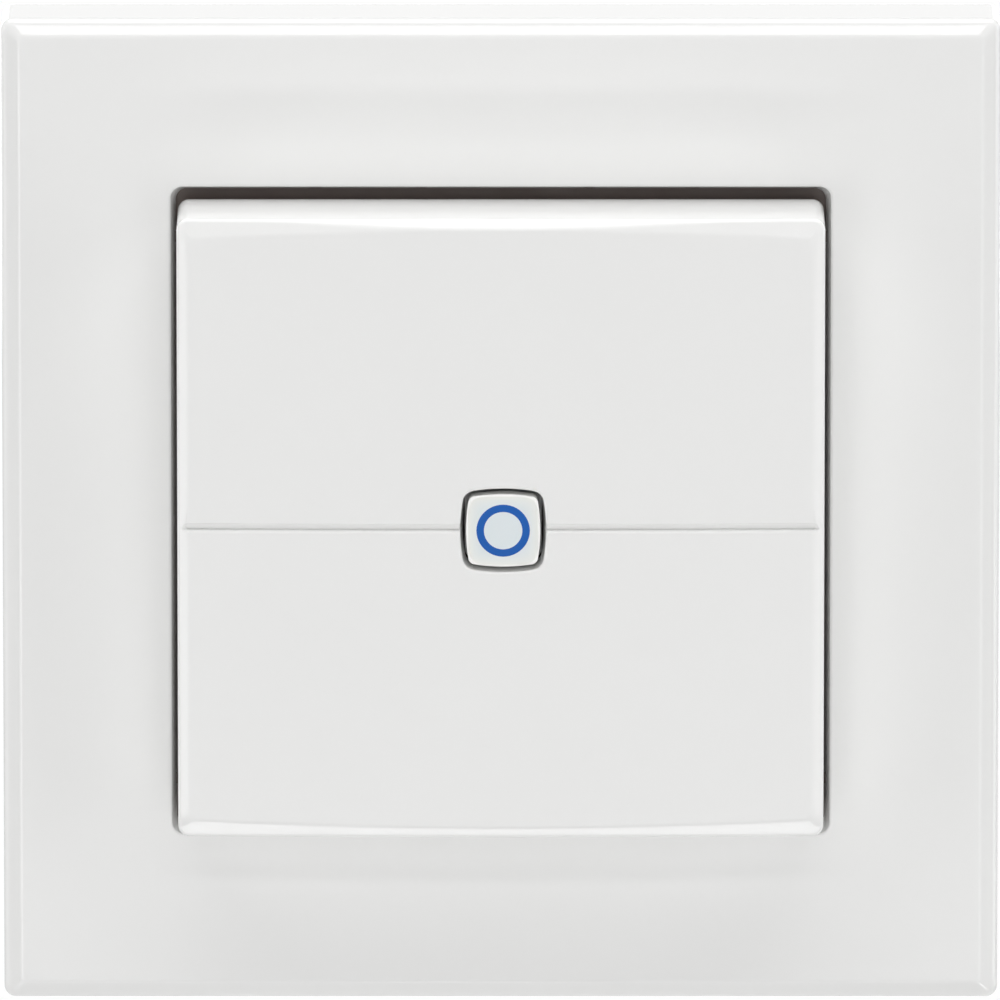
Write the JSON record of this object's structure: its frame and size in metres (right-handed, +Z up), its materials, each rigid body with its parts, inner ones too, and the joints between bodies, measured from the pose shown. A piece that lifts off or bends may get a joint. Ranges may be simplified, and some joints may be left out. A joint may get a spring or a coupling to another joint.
{
  "type": "wireless remote wall switch",
  "caption": "Square surface-mounted radio wall switch: bevelled white frame, one large sprung rocker with a groove, and a pale lens with a blue ring at its centre.",
  "frame": {"origin": "centre of the back, where the mounting plate lies on the wall", "axes": "+Y points into the wall, so the front faces -Y; +Z is up and +X is to the right seen from the front"},
  "size_m": [0.086, 0.0179, 0.086],
  "materials": {
    "white_frame": null,
    "white_rocker": null,
    "pale_lens": "pale translucent, polished",
    "blue_mark": "blue, polished flush with the lens",
    "dark_unit": "fine grained brown-black",
    "grey_plate": "plain grey moulding",
    "board_green": "green solder resist",
    "cell_steel": "bright nickelled can",
    "contact_metal": "sprung strip",
    "switch_black": "black switch cases",
    "stem_white": "pale switch stems",
    "lamp_white": "lamp package",
    "can_metal": "tinned metal can",
    "chip_black": "moulded chip case",
    "ceramic_tan": "fired ceramic",
    "antenna_wire": "bare tinned wire",
    "screw_steel": "zinc plated"
  },
  "bodies": {
    "housing": {"frame": "white_frame", "light_guide": "pale_lens", "ring_inlay": "blue_mark", "housing_base": "dark_unit", "housing_cover": "dark_unit", "mounting_plate": "grey_plate", "circuit_board": "board_green", "coin_cell": "cell_steel", "battery_contact_positive": "contact_metal", "battery_contact_negative": "contact_metal", "upper_switch_body": "switch_black", "lower_switch_body": "switch_black", "pairing_switch_body": "switch_black", "indicator_led": "lamp_white", "radio_module": "can_metal", "quartz_crystal": "can_metal", "microcontroller": "chip_black", "chip_resistors": "chip_black", "chip_capacitors": "ceramic_tan", "antenna": "antenna_wire", "housing_screws": "screw_steel"},
    "rocker": {"rocker": "white_rocker"},
    "upper_stem": {"upper_switch_stem": "stem_white"},
    "lower_stem": {"lower_switch_stem": "stem_white"},
    "pairing_stem": {"pairing_switch_stem": "stem_white"}
  },
  "joints": [
    {"name": "rocker_tilt", "type": "hinge", "parent": "housing", "child": "rocker", "pos_m": [0, -0.0133, 0], "axis": [1, 0, 0], "range_deg": [-2, 2], "stiffness_Nm_per_rad": 0.4},
    {"name": "upper_stem_press", "type": "slide", "parent": "housing", "child": "upper_stem", "axis": [0, 1, 0], "range_m": [-0.0005, 0.0005], "stiffness_N_per_m": 2},
    {"name": "lower_stem_press", "type": "slide", "parent": "housing", "child": "lower_stem", "axis": [0, 1, 0], "range_m": [-0.0005, 0.0005], "stiffness_N_per_m": 2},
    {"name": "pairing_press", "type": "slide", "parent": "housing", "child": "pairing_stem", "axis": [0, 1, 0], "range_m": [0, 0.0003], "stiffness_N_per_m": 100, "springref_m": -0.0005}
  ],
  "couplings": [
    {"joint": "upper_stem_press", "follows": "rocker_tilt", "m_per_rad": -0.013},
    {"joint": "lower_stem_press", "follows": "rocker_tilt", "m_per_rad": 0.013}
  ]
}
